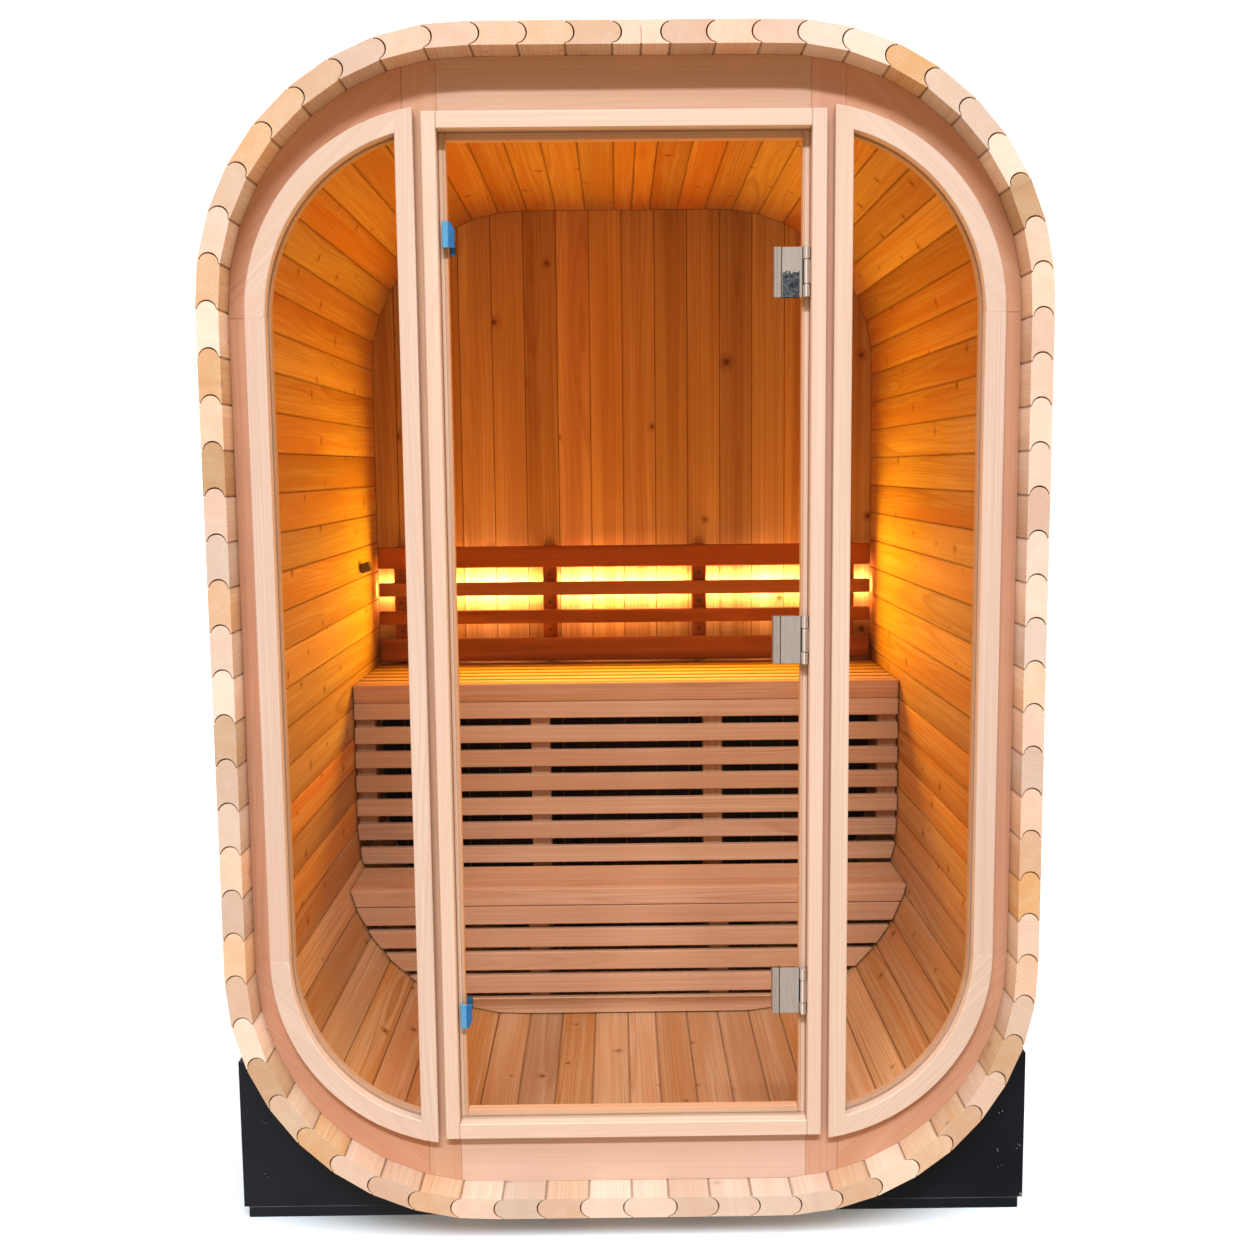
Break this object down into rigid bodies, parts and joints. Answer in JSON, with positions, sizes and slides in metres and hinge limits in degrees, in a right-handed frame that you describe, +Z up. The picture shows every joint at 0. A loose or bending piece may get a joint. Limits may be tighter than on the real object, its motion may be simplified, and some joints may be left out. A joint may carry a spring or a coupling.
{
  "type": "barrel sauna",
  "caption": "Rounded-rectangle barrel sauna of bead-and-cove staves with a glazed front wall, a hinged glass door, stepped slatted benches and steel cradles.",
  "frame": {"origin": "on the ground, under the middle of the shell's length and width", "axes": "+Z up, -Y out of the glazed front, +X to the right seen from the front"},
  "size_m": [1.514, 1.635, 2.2],
  "materials": {
    "stave_wood": "planed softwood staves, unfinished, pale end grain",
    "front_wall_wood": "planed pinkish softwood",
    "trim_wood": "planed pale softwood",
    "back_wall_wood": "tongue-and-groove boards",
    "bench_wood": "planed softwood slats",
    "clear_glass": "clear tempered",
    "hinge_steel": "satin",
    "clip_plastic": "moulded blue",
    "light_plastic": "diffuser",
    "sensor_plastic": "moulded",
    "cradle_steel": "satin black"
  },
  "bodies": {
    "sauna": {"roof_staves": "stave_wood", "roof_corner_left_staves": "stave_wood", "roof_corner_right_staves": "stave_wood", "wall_left_staves": "stave_wood", "wall_right_staves": "stave_wood", "floor_corner_left_staves": "stave_wood", "floor_corner_right_staves": "stave_wood", "floor_staves": "stave_wood", "front_wall_header": "front_wall_wood", "front_wall_sill": "front_wall_wood", "front_wall_mullions": "front_wall_wood", "front_wall_left": "front_wall_wood", "front_wall_right": "front_wall_wood", "door_stops": "front_wall_wood", "window_bead_left": "front_wall_wood", "window_bead_right": "front_wall_wood", "door_trim": "trim_wood", "window_trim_left": "trim_wood", "window_trim_right": "trim_wood", "back_wall": "back_wall_wood", "backrest_rails": "bench_wood", "backrest_battens": "bench_wood", "upper_bench_slats": "bench_wood", "upper_bench_apron": "bench_wood", "upper_bench_skirt": "bench_wood", "upper_bench_frame": "bench_wood", "lower_bench_slats": "bench_wood", "lower_bench_apron": "bench_wood", "lower_bench_skirt": "bench_wood", "lower_bench_frame": "bench_wood", "window_glass_left": "clear_glass", "window_glass_right": "clear_glass", "hinge_leaves": "hinge_steel", "light_strip": "light_plastic", "wall_sensor": "sensor_plastic", "front_cradle": "cradle_steel", "rear_cradle": "cradle_steel", "front_base_rail": "cradle_steel", "rear_base_rail": "cradle_steel"},
    "door": {"door_glass": "clear_glass", "hinge_plate_upper": "hinge_steel", "hinge_plate_middle": "hinge_steel", "hinge_plate_lower": "hinge_steel", "door_clip_upper": "clip_plastic", "door_clip_lower": "clip_plastic"}
  },
  "joints": [
    {"name": "door_hinge", "type": "hinge", "parent": "sauna", "child": "door", "pos_m": [0.323, -0.7615, 1.12], "axis": [0, 0, 1], "range_deg": [0, 105]}
  ]
}
